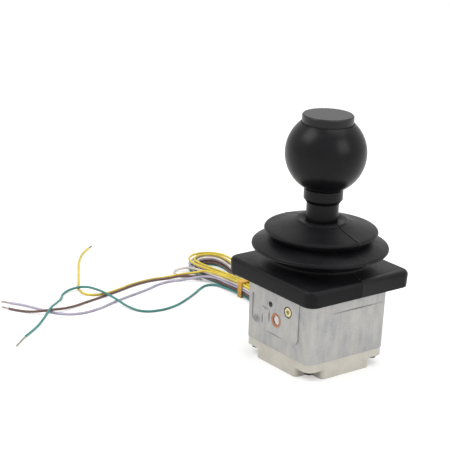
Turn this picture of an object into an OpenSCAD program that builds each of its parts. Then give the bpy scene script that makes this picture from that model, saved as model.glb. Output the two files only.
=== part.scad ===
// Two-axis joystick with a ball knob, a thumb button and a square rubber bellows.
// Millimetres, +Z up, the lowest point of the bottom cover at z = 0, the lever's axis on x = y = 0.

/* [Housing] */
// Side of the square housing at its lower edge
body_w = 55; // [54:0.5:60]
// Height of the housing below the mounting flange
body_h = 36.5; // [36:0.5:42]
// How far each side leans out over the housing's height
body_lean = 0.6; // [0:0.1:1]
// Outer corner radius of the housing
body_r = 5; // [3:0.5:6]
// Thickness of the housing's walls
wall = 3.5; // [3:0.25:4]
// Thickness of the housing's roof under the flange
roof_t = 3; // [2.5:0.5:4]
// Radius of the lever's opening in the roof
opening_r = 18.5; // [18:0.25:19.5]
// How far the machined pad on the front face stands out
pad_t = 0.3; // [0.2:0.1:0.6]

/* [Flange] */
// Side of the square die-cast flange
flange_w = 66.8; // [66:0.2:69]
// Thickness of the flange
flange_t = 6; // [5:0.5:7]
// Distance between the tapped panel holes
panel_pitch = 59; // [58:0.5:60]
// Core radius of the tapped panel holes
panel_hole_r = 1.65; // [1.25:0.05:2.1]
// Depth of the tapped panel holes
panel_hole_depth = 5; // [3:0.5:5]
// Depth of the groove that holds the bellows
groove_d = 0.9; // [0.6:0.1:1.2]

/* [Bottom cover] */
// Height of the cover block
cover_h = 10; // [9.5:0.5:12]
// Side of the notch at each corner
notch = 10.5; // [10:0.25:11]
// Thickness of the tab over each notch
tab_t = 4.6; // [4:0.2:5]
// Thickness of the cover's floor
cover_floor = 2.5; // [2:0.5:3]
// Distance between the cover screws
cover_pitch = 44.6; // [44:0.2:45]
// Shank radius of the cover screws
cover_screw_r = 1.5; // [1.25:0.25:1.5]

// Rounding of the cover's corners beside each notch
notch_round = 2.5; // [1.5:0.25:3]

/* [Gimbal] */
// Height of both pivot axes above the housing's lower edge
pivot_up = 17.5; // [17:0.25:19]
// Radius of the main shafts
shaft_r = 2.5; // [2:0.25:2.75]
// Radial running clearance of every pivot
run = 0.03; // [0.02:0.01:0.06]
// Outer radius of the bushes
bush_r = 4; // [3.75:0.25:4.5]
// Half length of the gimbal ring across the cross pin
ring_x = 16.5; // [16:0.25:17]
// Half length of the gimbal ring along the main shafts
ring_y = 13.5; // [13.25:0.25:14]
// Height of the gimbal ring
ring_h = 12; // [12:0.5:12.5]
// Thickness of the ring's bars
ring_bar = 3.8; // [3.4:0.1:4]
// Radius of the cross pin
pin_r = 2; // [1.75:0.25:2.25]

/* [Centring springs] */
// Mean coil radius of the main centring spring
main_coil_r = 4.2; // [4:0.1:4.4]
// Wire radius of the main centring spring
main_wire_r = 0.55; // [0.4:0.05:0.6]
// Mean coil radius of the cross centring spring
cross_coil_r = 3.4; // [3.2:0.1:3.5]
// Wire radius of the cross centring spring
cross_wire_r = 0.4; // [0.3:0.05:0.45]
// Angle of the spring post above the horizontal
post_angle = 39; // [30:1:50]
// Distance of the spring post from the pivot
post_out = 12.1; // [11.5:0.1:12.5]
// Radius of the spring post and the drive pin
post_r = 1.2; // [1:0.1:1.3]

/* [Lever] */
// Radius of the hollow steel rod
rod_r = 4; // [3.5:0.25:4]
// Radius of the bore through the rod
rod_bore_r = 2.2; // [1.5:0.1:2.4]
// Radius of the moulded stem over the rod
stem_r = 8.8; // [8:0.1:9.5]
// Height of the knob's lower face above the pivots
collar_up = 70.8; // [68:0.4:74]
// Radius of the collar under the knob
collar_r = 10.65; // [10:0.05:11.5]
// Height of the collar
collar_h = 8; // [6:0.5:9]
// Half side of the square gate that stops the lever
gate_half = 10.9; // [10.8:0.1:11.5]

/* [Knob] */
// Radius of the ball knob
ball_r = 22; // [21.5:0.25:24]
// Radius of the flat on top of the ball
flat_r = 14.6; // [14.5:0.1:15]
// Radius of the thumb button
button_r = 13.9; // [13:0.1:14]
// How far the button stands above the ball
button_up = 4.7; // [3.5:0.1:6]
// How far the button travels
travel = 2; // [1:0.25:2.25]

/* [Bellows] */
// Side of the square skirt
skirt_w = 72; // [71:0.5:75]
// Height of the square skirt
skirt_h = 9; // [8.5:0.5:10]
// Corner radius of the skirt
skirt_r = 6; // [4:0.5:8]
// Wall thickness of the bellows
rubber_t = 1.6; // [1.2:0.1:1.8]
// Radius of the lower fold
low_fold_r = 37.4; // [36:0.2:39]
// Height of the lower fold above the skirt
low_fold_up = 10.2; // [9.5:0.1:11]
// Radius of the valley between the folds
valley_r = 25.5; // [24.5:0.5:26.5]
// Radius of the upper fold
top_fold_r = 31; // [29.5:0.25:32]
// Height of the upper fold above the skirt
top_fold_up = 19.2; // [19:0.1:20]
// Radius of the lip round the stem
lip_r = 14.2; // [13:0.1:15]
// Height of the lip above the skirt
lip_up = 25.4; // [25:0.1:27]

/* [Leads] */
// Diameter of one insulated lead
lead_d = 1.5; // [1:0.1:2]
// Width of the hank's neck under its tie
neck_w = 13; // [11:0.5:14]
// Height of the hank
hank_h = 8.8; // [8:0.2:10]

/* [Hidden] */

fit = 0.02;
gap = 0.3;
fine = 64;
half = body_w / 2;
top_half = half + body_lean;
pad_y = top_half + pad_t;
rear_y = half + body_lean * pivot_up / body_h;
seam_z = cover_h;
flange_z = seam_z + body_h;
flange_top = flange_z + flange_t;
skirt_top = flange_z + skirt_h;
roof_z = flange_z - roof_t;
cav = half - wall;
cover_step = 0.3;
cover_half = half - cover_step;
pivot_z = seam_z + pivot_up;

// bosses and holes of the housing
bush_boss_r = bush_r + 2.5;
bush_boss_l = 2.5;
corner_boss_r = 4;
corner_boss_h = 13;
cover_screw_xy = cover_pitch / 2;
head_h = 2;
head_r = 2.8;
cover_bite = 7;
pad_x0 = -10.3;
pad_x1 = 18.3;
pad_r = 4;
pad_drop = 9;
locating_r = 1.65;

// gate plate under the roof
gate_t = 2;
gate_z = roof_z - gate_t;
gate_side = 2 * cav - 4;
gate_screw_xy = cav - 5.2;
gate_screw_r = 1.25;
gate_head_r = 2.2;
gate_head_h = 1.3;
gate_bite = 4;

// spring post
post_x = post_out * cos(post_angle);
post_z = pivot_z + post_out * sin(post_angle);
post_foot_r = 3;
post_screw_r = 1.25;
post_head_r = 2.5;
post_sink_r = 3.3;
post_sink = 1.4;
drive_out = 7;
leg_gap = post_r + main_wire_r + fit;
main_pitch = 1.4;
main_turns = 3;
main_y0 = ring_y + 1.2;

// hub and ring
hub_x = 6.5;
hub_y = 7;
hub_z = 6.5;
hub_boss_r = 6.5;
hub_boss_h = 5.5;
socket_drop = 2;
ring_in_x = ring_x - ring_bar;
ring_in_y = ring_y - ring_bar;
pin_half = ring_x + 2.6;
clip_t = 0.7;
clip_gap = 0.15;
clip_groove = 0.4;
clip_w = 1.5;
hub_pin_r = 0.8;
hub_pin_out = 5.7;
stop_out = 8.5;
cross_pitch = 1.0;
cross_turns = 3;
cross_x0 = hub_x + 1.5;
cross_leg_gap = hub_pin_r + cross_wire_r + fit;

// lever stack
magnet_r = 3;
magnet_h = 3;
holder_r = 4.5;
holder_h = 5;
rod_z0 = pivot_z + hub_z - socket_drop;
rod_hole_z = pivot_z + hub_z + hub_boss_h + 3;
rod_hole_r = 1.5;
knob_z0 = pivot_z + collar_up;
collar_z0 = knob_z0 - collar_h;
ball_z = knob_z0 + sqrt(ball_r * ball_r - collar_r * collar_r);
flat_z = ball_z + sqrt(ball_r * ball_r - flat_r * flat_r);
well_z = flat_z - 5.6;
plate_t = 2;
plate_r = 10.9;
plate_z = well_z - 1 - plate_t;
switch_r = 6.4;
switch_h = 11;
stem_end = 1.5;
button_pin_r = 2.5;
switch_z0 = plate_z - stem_end - travel - 0.5 - switch_h;
rod_z1 = switch_z0 - 2.5;
stem_hidden = 11;
stem_z0 = skirt_top + lip_up - stem_hidden;
button_top = flat_z + button_up;
button_low = well_z + travel + gap;
plunger_r = 1.5;
plunger_l = 6;

// circuit board on the cover's pillars
pillar_xy = 11.5;
pillar_r = 3;
board_z = seam_z + 1;
board_t = 1.6;
board_half = cav - 2;
board_gap = 0.66;
board_top = board_z + board_t;
chip_h = 1.1;
plug_x0 = board_half - 2;
plug_h = 4;
board_screw_r = 0.9;
board_head_r = 1.9;
board_head_h = 1.2;
board_bite = 4;

// way out of the leads
way_z = board_top + plug_h / 2 + 0.4;
way_r = 3.5;
grommet_lip = 1.2;
bundle_r = 1.35 * lead_d;
tail_end = half + 9.5;

// hank of leads behind the housing
hank_z0 = 0.7;
neck_x = -95;
neck_y = 28.5;
tie_w = 3.5;
tie_t = 0.7;

// routes of the leads
lead_r = lead_d / 2;
bundle_route = [[-tail_end, 0, way_z], [-tail_end - 1.5, 0, way_z], [-42.5, 1.2, 14.6],
    [-47, 5.5, 13.4], [-51.5, 11.5, 12.4], [-56.5, 18, 11.8], [-61.5, 23.2, 10.6], [-66, 25.5, 8.9]];
yellow_route = [[-131, 20.5, 6], [-141, 11, 2.6], [-145, 3, 1], [-147, -8, 0.8], [-146, -22, 0.8],
    [-142, -38, 0.8], [-141, -48, 0.8], [-145, -56, 0.8], [-154, -56, 0.8], [-166, -49, 0.8],
    [-200, -27, 0.8], [-212, -16, 0.8], [-220, -5, 0.8]];
brown_route = [[-125, 21.5, 2.8], [-130, 19.2, 2.7], [-134.5, 15.5, 2.5], [-139, 10, 2.3],
    [-143, 2, 0.9], [-145, -9, 0.8], [-144, -22, 0.8], [-135, -61, 0.8], [-131, -79, 1.4],
    [-131, -90, 2.4], [-136, -99, 1.4], [-144, -105, 0.8], [-154, -110, 0.8]];
grey_route = [[-124, 21.3, 4.6], [-128, 18.6, 4], [-131.5, 14.5, 2.6], [-136, 8, 1], [-138, -4, 0.8],
    [-133, -22, 0.8], [-121, -66, 0.8], [-121, -77, 0.8], [-126, -86, 0.8], [-137, -92, 0.8],
    [-150, -98, 0.8], [-162, -106, 0.8]];
green_route = [[-112, 22, 1.1], [-118, 20.5, 0.9], [-120.5, 16, 0.8], [-118.5, 10, 0.8],
    [-113, 1, 0.8], [-102, -22, 0.8], [-101, -34, 0.8], [-105, -43, 0.8], [-115, -47, 1.4],
    [-124, -48, 2.6], [-145, -49, 2.6], [-153, -53, 2.7], [-156, -60, 1.6], [-154, -67, 0.8],
    [-146, -74, 1.2], [-138, -82, 2.8], [-130, -91, 4], [-123, -99, 2.4], [-117, -107, 0.9],
    [-97, -133, 0.8]];
flex_route = [[0, rod_r + 0.4, rod_hole_z], [0, gate_half - 2.4, gate_z - 0.2],
    [1, ring_y - 1.5, gate_z - 2.9], [3.5, ring_y + 1.4, pivot_z + ring_h / 2 + 1],
    [5.5, ring_y + 2.3, pivot_z + 2], [6.5, ring_y + 2.7, board_top + 11.4],
    [7.5, ring_y + 2.7, board_top + 5.4], [8, ring_y + 2.5, board_top + 1.8],
    [8, ring_y + 2.5, board_top + 0.1]];
white_route = [[-140, 20.5, 4.8], [-146.5, 20.2, 3.4], [-151, 18, 2], [-152, 14, 0.8],
    [-147, 11, 0.8], [-139, 13, 0.8], [-130, 19.2, 0.8]];

// a rounded square, centred
module square_r(side, r) {
    hull()
        for (x = [-1, 1], y = [-1, 1])
            translate([x * (side / 2 - r), y * (side / 2 - r)])
                circle(r, $fn = 32);
}

// the same outline from plain parts, for solids that hold bores
module plate_r4(side, r, h) {
    linear_extrude(height = h) {
        square([side - 2 * r, side], center = true);
        square([side, side - 2 * r], center = true);
        for (x = [-1, 1], y = [-1, 1])
            translate([x * (side / 2 - r), y * (side / 2 - r)])
                circle(r, $fn = 48);
    }
}

// four copies, one in each corner
module corners(d) {
    for (x = [-d, d], y = [-d, d])
        translate([x, y, 0])
            children();
}

// a cylinder along Y from y0 to y1
module bar_y(r, y0, y1, x = 0, z = 0) {
    translate([x, y1, z])
        rotate([90, 0, 0])
            cylinder(r = r, h = y1 - y0, $fn = fine);
}

// a cylinder along X from x0 to x1
module bar_x(r, x0, x1, y = 0, z = 0) {
    translate([x0, y, z])
        rotate([0, 90, 0])
            cylinder(r = r, h = x1 - x0, $fn = fine);
}

function unit(v) = v / norm(v);
function ahead(p, i) = unit(p[min(i + 1, len(p) - 1)] - p[max(i - 1, 0)]);

// a round tube along the points p
module tube(p, r, up = [0, 0, 1], sides = 8) {
    n = len(p);
    points = [for (i = [0:n - 1])
        let (t = ahead(p, i), s = unit(cross(t, up)), u = cross(s, t))
        for (k = [0:sides - 1])
            let (a = 360 * k / sides) p[i] + r * (cos(a) * s + sin(a) * u)];
    function at(i, k) = i * sides + k % sides;
    skin = [for (i = [0:n - 2], k = [0:sides - 1], f = [0, 1])
        f == 0 ? [at(i, k), at(i, k + 1), at(i + 1, k + 1)] : [at(i, k), at(i + 1, k + 1), at(i + 1, k)]];
    first = [for (k = [sides - 1:-1:0]) k];
    last = [for (k = [0:sides - 1]) at(n - 1, k)];
    polyhedron(points, concat([first], skin, [last]), convexity = 10);
}

// a torsion spring round Z whose two legs run out along X, each leg_off from the X axis
module torsion_spring(coil_r, wire_r, turns, pitch, leg_off, leg_end) {
    lead = asin(leg_off / coil_r);
    sweep = 360 * turns - 2 * lead;
    steps = 18 * turns;
    foot = coil_r * cos(lead);
    coil = [for (i = [0:steps])
        let (a = -lead - sweep * i / steps)
        [coil_r * cos(a), coil_r * sin(a), pitch * turns * i / steps]];
    path = concat([[leg_end, -leg_off, 0], [foot + 1, -leg_off, 0]], coil,
        [[foot + 1, leg_off, pitch * turns], [leg_end, leg_off, pitch * turns]]);
    tube(path, wire_r, [0, 0, 1], 6);
}

// cast housing with an open bottom and an integral square flange
module housing() {
    color("silver")
        difference() {
            union() {
                hull() {
                    translate([0, 0, seam_z])
                        linear_extrude(height = 0.1)
                            square_r(body_w, body_r);
                    translate([0, 0, flange_z - 0.1])
                        linear_extrude(height = 0.1)
                            square_r(2 * top_half, body_r + body_lean);
                }
                face_pad();
                translate([0, 0, flange_z])
                    plate_r4(flange_w, skirt_r - 2.6, flange_t);
                corners(cover_screw_xy)
                    translate([0, 0, seam_z])
                        cylinder(r = corner_boss_r, h = corner_boss_h, $fn = 48);
            }
            difference() {
                translate([0, 0, seam_z - 1])
                    plate_r4(2 * cav, 3, roof_z - seam_z + 1);
                corners(cover_screw_xy)
                    translate([0, 0, seam_z])
                        cylinder(r = corner_boss_r, h = corner_boss_h, $fn = 48);
                bar_y(bush_boss_r, -half, -cav + bush_boss_l, 0, pivot_z);
                bar_y(bush_boss_r, cav - bush_boss_l, half, 0, pivot_z);
            }
            translate([0, 0, roof_z - 1])
                cylinder(r = opening_r, h = roof_t + flange_t + 2, $fn = fine);
            groove();
            corners(cover_screw_xy)
                translate([0, 0, seam_z - 1])
                    cylinder(r = cover_screw_r, h = 9, $fn = 32);
            corners(gate_screw_xy)
                translate([0, 0, roof_z - 1])
                    cylinder(r = gate_screw_r, h = 6, $fn = 32);
            corners(panel_pitch / 2)
                translate([0, 0, flange_z - 1])
                    cylinder(r = panel_hole_r, h = panel_hole_depth + 1, $fn = 32);
            bar_y(bush_r + fit, -pad_y - 1, pad_y + 1, 0, pivot_z);
            bar_y(post_screw_r, -pad_y - 1, -cav + 1, post_x, post_z);
            bar_y(post_sink_r, -pad_y - 1, -pad_y + post_sink, post_x, post_z);
            bar_y(locating_r, -pad_y - 1, -pad_y + 3, -5.3, post_z);
            face_recess();
            bar_x(way_r, -half - 2, -cav + 1, 0, way_z);
        }
}

// raised machined pad round the shaft's end, with rounded lower corners
module face_pad() {
    low = pivot_z - pad_drop;
    for (x = [pad_x0 + pad_r, pad_x1 - pad_r])
        bar_y(pad_r, -pad_y, -pad_y + 4, x, low + pad_r);
    translate([pad_x0 + pad_r, -pad_y, low])
        cube([pad_x1 - pad_x0 - 2 * pad_r, 4, 2 * pad_r]);
    translate([pad_x0, -pad_y, low + pad_r])
        cube([pad_x1 - pad_x0, 4, flange_z - low - pad_r]);
}

// groove round the flange's edge
module groove() {
    translate([0, 0, flange_z + flange_t * 0.4])
        difference() {
            plate_r4(flange_w + 4, skirt_r, 1.6);
            translate([0, 0, -1])
                plate_r4(flange_w - 2 * groove_d, skirt_r - 2.6 - groove_d, 4);
        }
}

// shallow upright recess with a round lower end, beside the pad
module face_recess() {
    r = 4.2;
    deep = 0.5;
    translate([-17.4, -half - body_lean - 1, 0]) {
        bar_y(r, 0, 1 + body_lean * 0.6 + deep, 0, pivot_z - 2.6);
        translate([-r, 0, pivot_z - 2.6])
            cube([2 * r, 1 + body_lean * 0.6 + deep, 12]);
    }
}

// moulded cover block with a notch under each corner
module bottom_cover() {
    tab_z = cover_h - tab_t;
    inner = half - notch;
    color("lightgray")
        difference() {
            union() {
                difference() {
                    union() {
                        plate_r4(2 * cover_half, body_r - cover_step, cover_h);
                        corners(cover_screw_xy)
                            cylinder(r = corner_boss_r, h = cover_h, $fn = 48);
                    }
                    for (a = [0:90:270])
                        rotate([0, 0, a])
                            corner_notch(tab_z);
                    translate([0, 0, cover_floor])
                        pocket(cover_h);
                }
                corners(pillar_xy)
                    translate([0, 0, cover_floor - 0.5])
                        cylinder(r = pillar_r, h = board_z - cover_floor + 0.5, $fn = 32);
                for (a = [0:90:270])
                    rotate([0, 0, a])
                        translate([-10, cav - 1.5, cover_h - 1])
                            cube([20, 1.3, 2.6]);
            }
            corners(cover_screw_xy)
                translate([0, 0, tab_z - 1])
                    cylinder(r = cover_screw_r + 0.2, h = tab_t + 2, $fn = 32);
            bar_x(way_r + grommet_lip + gap, -half, 2 - cav, 0, way_z);
            corners(pillar_xy)
                translate([0, 0, board_z - board_bite - 2])
                    cylinder(r = board_screw_r, h = board_bite + 3, $fn = 32);
        }
}

// the room taken out under one corner: a round inner corner, and its two mouths rounded off
module corner_notch(h) {
    r = 3;
    a = half - notch;
    out = notch + corner_boss_r;
    translate([0, 0, -1])
        linear_extrude(height = h + 1) {
            translate([a + r, a + r])
                circle(r, $fn = 32);
            translate([a + r, a])
                square([out, out]);
            translate([a, a + r])
                square([out, out]);
            for (turn = [0, 1])
                mirror([turn, -turn])
                    difference() {
                        translate([cover_half - notch_round, a - notch_round])
                            square([notch_round + 1, notch_round + 1]);
                        translate([cover_half - notch_round, a - notch_round])
                            circle(notch_round, $fn = 48);
                    }
        }
}

// cross-shaped hollow inside the cover
module pocket(h) {
    a = half - notch - 2;
    b = cav - 1.5;
    translate([-a, -b, 0])
        cube([2 * a, 2 * b, h]);
    translate([-b, -a, 0])
        cube([2 * b, 2 * a, h]);
}

module cover_screws() {
    z = cover_h - tab_t;
    color("dimgray")
        corners(cover_screw_xy)
            pan_screw(cover_screw_r - fit, z - head_h, head_r, head_h, tab_t + cover_bite);
}

// a screw with its head at z, its shank upwards
module pan_screw(r, z, head, head_t, shank) {
    difference() {
        translate([0, 0, z])
            union() {
                cylinder(r = head, h = head_t, $fn = 32);
                cylinder(r = r, h = head_t + shank, $fn = 32);
            }
        translate([0, 0, z - 0.1])
            cylinder(r = head * 0.5, h = head_t * 0.6, $fn = 6);
    }
}

// square gate that limits the lever's tilt
module gate_plate() {
    color("gray")
        difference() {
            translate([0, 0, gate_z])
                plate_r4(gate_side, 3, gate_t);
            translate([0, 0, gate_z - 1])
                plate_r4(2 * gate_half, 2, gate_t + 2);
            corners(gate_screw_xy)
                translate([0, 0, gate_z - 1])
                    cylinder(r = gate_screw_r + 0.15, h = gate_t + 2, $fn = 32);
            bar_y(post_foot_r + gap, -cav, -cav + 4, post_x, post_z);
        }
}

module gate_screws() {
    color("dimgray")
        corners(gate_screw_xy)
            pan_screw(gate_screw_r - fit, gate_z - gate_head_h, gate_head_r, gate_head_h,
                gate_t + gate_bite);
}

// one sintered bronze bush, front end flush with the machined pad
module bush(y0, y1) {
    color("peru")
        difference() {
            bar_y(bush_r, y0, y1, 0, pivot_z);
            bar_y(shaft_r + run, y0 - 1, y1 + 1, 0, pivot_z);
        }
}

module front_bush() {
    bush(-pad_y, -cav + bush_boss_l);
}

module rear_bush() {
    bush(cav - bush_boss_l, rear_y);
}

// fixed post that both legs of the main spring press on
module spring_post() {
    color("gainsboro")
        difference() {
            union() {
                bar_y(post_foot_r, -cav, -cav + 2, post_x, post_z);
                bar_y(post_r, -cav, -ring_y - 0.5, post_x, post_z);
            }
            bar_y(post_screw_r * 0.6, -cav - 1, -cav + 6, post_x, post_z);
        }
}

module post_screw() {
    color("gold")
        difference() {
            union() {
                bar_y(post_head_r, -pad_y + 0.1, -pad_y + post_sink, post_x, post_z);
                bar_y(post_screw_r - fit, -pad_y + post_sink - 0.1, -cav, post_x, post_z);
                bar_y(post_screw_r * 0.6 - fit, -cav - 0.1, -cav + 5.5, post_x, post_z);
            }
            translate([post_x, -pad_y + 0.9, post_z])
                rotate([90, 0, 0])
                    cylinder(r = 1.2, h = 2, $fn = 6);
        }
}

// points along an arc, for the folds of the bellows
function arc(r, z, rad, a0, a1, n) = [for (i = [0:n])
    let (a = a0 + (a1 - a0) * i / n) [r + rad * cos(a), z + rad * sin(a)]];

// half section of the bellows, first up the outside and then down the inside
function bellows_outline() =
    let (
        z0 = skirt_top,
        t = rubber_t,
        f = 1.3,
        low_z = z0 + low_fold_up,
        top_z = z0 + top_fold_up,
        dip_z = (low_z + top_z) / 2 + 0.2,
        lip_z = z0 + lip_up)
    concat(
        [[valley_r + 8, z0 - 0.2], [valley_r + 4, z0 + 1.4], [valley_r + 1.8, z0 + 2.6]],
        [[valley_r + 1.4, z0 + 4.2], [valley_r + 4, z0 + 6.2]],
        arc(low_fold_r - f, low_z, f, -62, 75, 6),
        [[valley_r + 3.5, dip_z - 0.7], [valley_r, dip_z], [valley_r + 2, dip_z + 1]],
        arc(top_fold_r - f, top_z, f, -60, 68, 6),
        [[lip_r + 5, lip_z - 2.6], [lip_r + 1, lip_z - 1.2], [lip_r, lip_z - 1]],
        [[lip_r, lip_z - 0.3], [lip_r - 0.4, lip_z], [stem_r + 2.2, lip_z]],
        [[stem_r + 0.6, lip_z - 1], [stem_r + run, lip_z - 1]],
        [[stem_r + run, lip_z - 5.5], [stem_r + t, lip_z - 5.5], [lip_r, lip_z - 1.6 - t]],
        [[lip_r + 5, lip_z - 3.2 - t], [top_fold_r - f - 1.2, top_z - 0.2]],
        [[valley_r + 2 - t, dip_z + 1.6 - t * 0.2], [valley_r - t, dip_z + 0.3]],
        [[valley_r - t, dip_z - 0.6], [valley_r + 3, dip_z - 0.7 - t]],
        [[low_fold_r - f - 2.4, low_z + 0.1], [valley_r + 3.2, z0 + 7.2]],
        [[valley_r + 1.4 - t, z0 + 4.6], [valley_r + 1.4 - t, z0 - 0.2]]);

// bellows and square skirt, one rubber moulding
module rubber_bellows() {
    inner = flange_w + 2 * fit;
    color("#242426")
        difference() {
            union() {
                rotate_extrude($fn = 96)
                    polygon(bellows_outline());
                hull() {
                    translate([0, 0, flange_z])
                        linear_extrude(height = 0.1)
                            square_r(skirt_w - 0.6, skirt_r);
                    translate([0, 0, skirt_top - 2.2])
                        linear_extrude(height = 0.1)
                            square_r(skirt_w, skirt_r);
                    translate([0, 0, skirt_top - 1.1])
                        linear_extrude(height = 0.1)
                            square_r(skirt_w - 0.7, skirt_r - 0.3);
                    translate([0, 0, skirt_top - 0.4])
                        linear_extrude(height = 0.1)
                            square_r(skirt_w - 1.9, skirt_r - 0.8);
                    translate([0, 0, skirt_top - 0.1])
                        linear_extrude(height = 0.1)
                            square_r(skirt_w - 3.6, skirt_r - 1.4);
                }
            }
            difference() {
                translate([0, 0, flange_z - 1])
                    plate_r4(inner, skirt_r - 2.6, flange_t + 1 + fit);
                translate([0, 0, flange_z + flange_t * 0.4 + 0.2])
                    difference() {
                        plate_r4(inner + 4, skirt_r, 1.2);
                        translate([0, 0, -1])
                            plate_r4(flange_w - 2 * groove_d + 0.2, skirt_r - 2.5 - groove_d, 4);
                    }
            }
            translate([0, 0, flange_z])
                cylinder(r = valley_r + 1.4 - rubber_t, h = skirt_h + 0.1, $fn = 96);
        }
}

// board with clipped corners
module circuit_board() {
    b = board_half;
    c = 2 * (b - cover_screw_xy) + sqrt(2) * (corner_boss_r + board_gap);
    color("darkgreen")
        difference() {
            translate([0, 0, board_z])
                linear_extrude(height = board_t)
                    polygon([[b - c, -b], [b, c - b], [b, b - c], [b - c, b],
                        [c - b, b], [-b, b - c], [-b, c - b], [c - b, -b]]);
            corners(pillar_xy)
                translate([0, 0, board_z - 1])
                    cylinder(r = board_screw_r + 0.25, h = board_t + 2, $fn = 32);
        }
}

module hall_sensor() {
    color("black")
        translate([-2.5, -2.5, board_top])
            cube([5, 5, chip_h]);
}

module board_screws() {
    color("dimgray")
        corners(pillar_xy)
            translate([0, 0, board_top])
                rotate([180, 0, 0])
                    translate([0, 0, -board_head_h])
                        pan_screw(board_screw_r - fit, 0, board_head_r, board_head_h, board_t + board_bite);
}

// five-way connector that the leads plug into
module lead_connector() {
    w = 6 * lead_d + 3;
    color("ivory")
        difference() {
            translate([-plug_x0, -w / 2, board_top])
                cube([4, w, plug_h]);
            for (i = [-2:2])
                translate([-plug_x0 + 1.5, i * 1.4 * lead_d - 0.4, board_top + plug_h - 1])
                    cube([2, 0.8, 2]);
        }
}

// rubber grommet whose tapered tail relieves the leads
module cable_grommet() {
    out = half + body_lean;
    color("#2c2c2e")
        translate([0, 0, way_z])
            rotate([0, -90, 0])
                rotate_extrude($fn = 48)
                    polygon([[bundle_r + fit, cav - 1.2], [way_r + grommet_lip, cav - 1.2],
                        [way_r + grommet_lip, cav],
                        [way_r - fit, cav], [way_r - fit, out], [way_r + 2, out],
                        [way_r + 2, out + 1.2], [way_r + 0.8, out + 1.9], [bundle_r + 1.6, out + 2],
                        [bundle_r + 0.7, tail_end], [bundle_r + fit, tail_end]]);
}

// the leads from the connector out through the grommet
module inner_leads() {
    color("khaki")
        bar_x(bundle_r, -tail_end, -plug_x0, 0, way_z);
}

// ring between the two pivots
module gimbal_ring() {
    color("slategray")
        difference() {
            union() {
                translate([0, 0, pivot_z - ring_h / 2])
                    linear_extrude(height = ring_h)
                        difference() {
                            ring_outline(ring_x, ring_y, 3);
                            ring_outline(ring_in_x, ring_in_y, 1.5);
                        }
                bar_x(hub_pin_r, cross_x0 - 0.6, ring_in_x + 0.5, -stop_out, pivot_z);
            }
            bar_y(shaft_r + fit, -ring_y - 1, ring_y + 1, 0, pivot_z);
            bar_x(pin_r + fit, -ring_x - 1, ring_x + 1, 0, pivot_z);
            bar_y(post_r + fit, -ring_y - 1, -ring_in_y + 1, drive_out * cos(post_angle),
                pivot_z + drive_out * sin(post_angle));
        }
}

module ring_outline(x, y, r) {
    square([2 * x - 2 * r, 2 * y], center = true);
    square([2 * x, 2 * y - 2 * r], center = true);
    for (i = [-1, 1], j = [-1, 1])
        translate([i * (x - r), j * (y - r)])
            circle(r, $fn = 32);
}

module front_shaft() {
    color("whitesmoke")
        bar_y(shaft_r, -pad_y + 0.5, -ring_in_y, 0, pivot_z);
}

module rear_shaft() {
    color("whitesmoke")
        bar_y(shaft_r, ring_in_y, rear_y - 0.5, 0, pivot_z);
}

// pin that the lever's hub turns on, with a groove near each end
module cross_pin() {
    color("whitesmoke")
        translate([0, 0, pivot_z])
            rotate([0, 90, 0])
                rotate_extrude($fn = 48)
                    polygon(concat([[0, -pin_half], [pin_r - 0.3, -pin_half], [pin_r, -pin_half + 0.3]],
                        pin_groove(-ring_x - clip_gap - clip_t), pin_groove(ring_x + clip_gap),
                        [[pin_r, pin_half - 0.3], [pin_r - 0.3, pin_half], [0, pin_half]]));
}

function pin_groove(x) = [[pin_r, x - fit], [pin_r - clip_groove, x - fit],
    [pin_r - clip_groove, x + clip_t + fit], [pin_r, x + clip_t + fit]];

// retaining ring with an open side, its hole of radius r
module circlip(r, t) {
    linear_extrude(height = t)
        difference() {
            circle(r + clip_w, $fn = 32);
            circle(r, $fn = 32);
            translate([r * 0.4, -r * 0.8])
                square([r + 2 * clip_w, r * 1.6]);
        }
}

module pin_circlips() {
    color("dimgray")
        for (x = [-ring_x - clip_gap - clip_t, ring_x + clip_gap])
            translate([x, 0, pivot_z])
                rotate([0, 90, 0])
                    circlip(pin_r - clip_groove + fit, clip_t);
}

// pin on the ring that winds one leg of the main spring
module drive_pin() {
    color("whitesmoke")
        bar_y(post_r, -main_y0 - main_turns * main_pitch - 1, -ring_in_y - 0.2, drive_out * cos(post_angle),
            pivot_z + drive_out * sin(post_angle));
}

module main_spring() {
    color("darkgray")
        translate([0, -main_y0, pivot_z])
            rotate([90, 0, 0])
                rotate([0, 0, post_angle])
                    torsion_spring(main_coil_r, main_wire_r, main_turns, main_pitch, leg_gap,
                        post_out + 2.5);
}

module cross_spring() {
    color("darkgray")
        translate([cross_x0, 0, pivot_z])
            rotate([0, 90, 0])
                rotate([0, 0, -90])
                    torsion_spring(cross_coil_r, cross_wire_r, cross_turns, cross_pitch, cross_leg_gap,
                        stop_out + 0.6);
}

// block on the cross pin with a socket for the rod
module lever_hub() {
    color("gray")
        difference() {
            union() {
                translate([-hub_x, -hub_y, pivot_z - hub_z])
                    cube([2 * hub_x, 2 * hub_y, 2 * hub_z]);
                translate([0, 0, pivot_z + hub_z - 0.1])
                    cylinder(r = hub_boss_r, h = hub_boss_h + 0.1, $fn = fine);
            }
            bar_x(pin_r + run, -hub_x - 1, hub_x + 1, 0, pivot_z);
            bar_x(hub_pin_r + fit, hub_x - 3, hub_x + 1, -hub_pin_out, pivot_z);
            translate([0, 0, rod_z0])
                cylinder(r = rod_r + fit, h = hub_boss_h + socket_drop + 1, $fn = fine);
            bar_y(1.5, -hub_boss_r - 1, -rod_r + 1, 0, pivot_z + hub_z + hub_boss_h / 2);
            translate([0, 0, pivot_z - hub_z - 1])
                cylinder(r = 1.5, h = 3.6, $fn = 32);
        }
}

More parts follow.
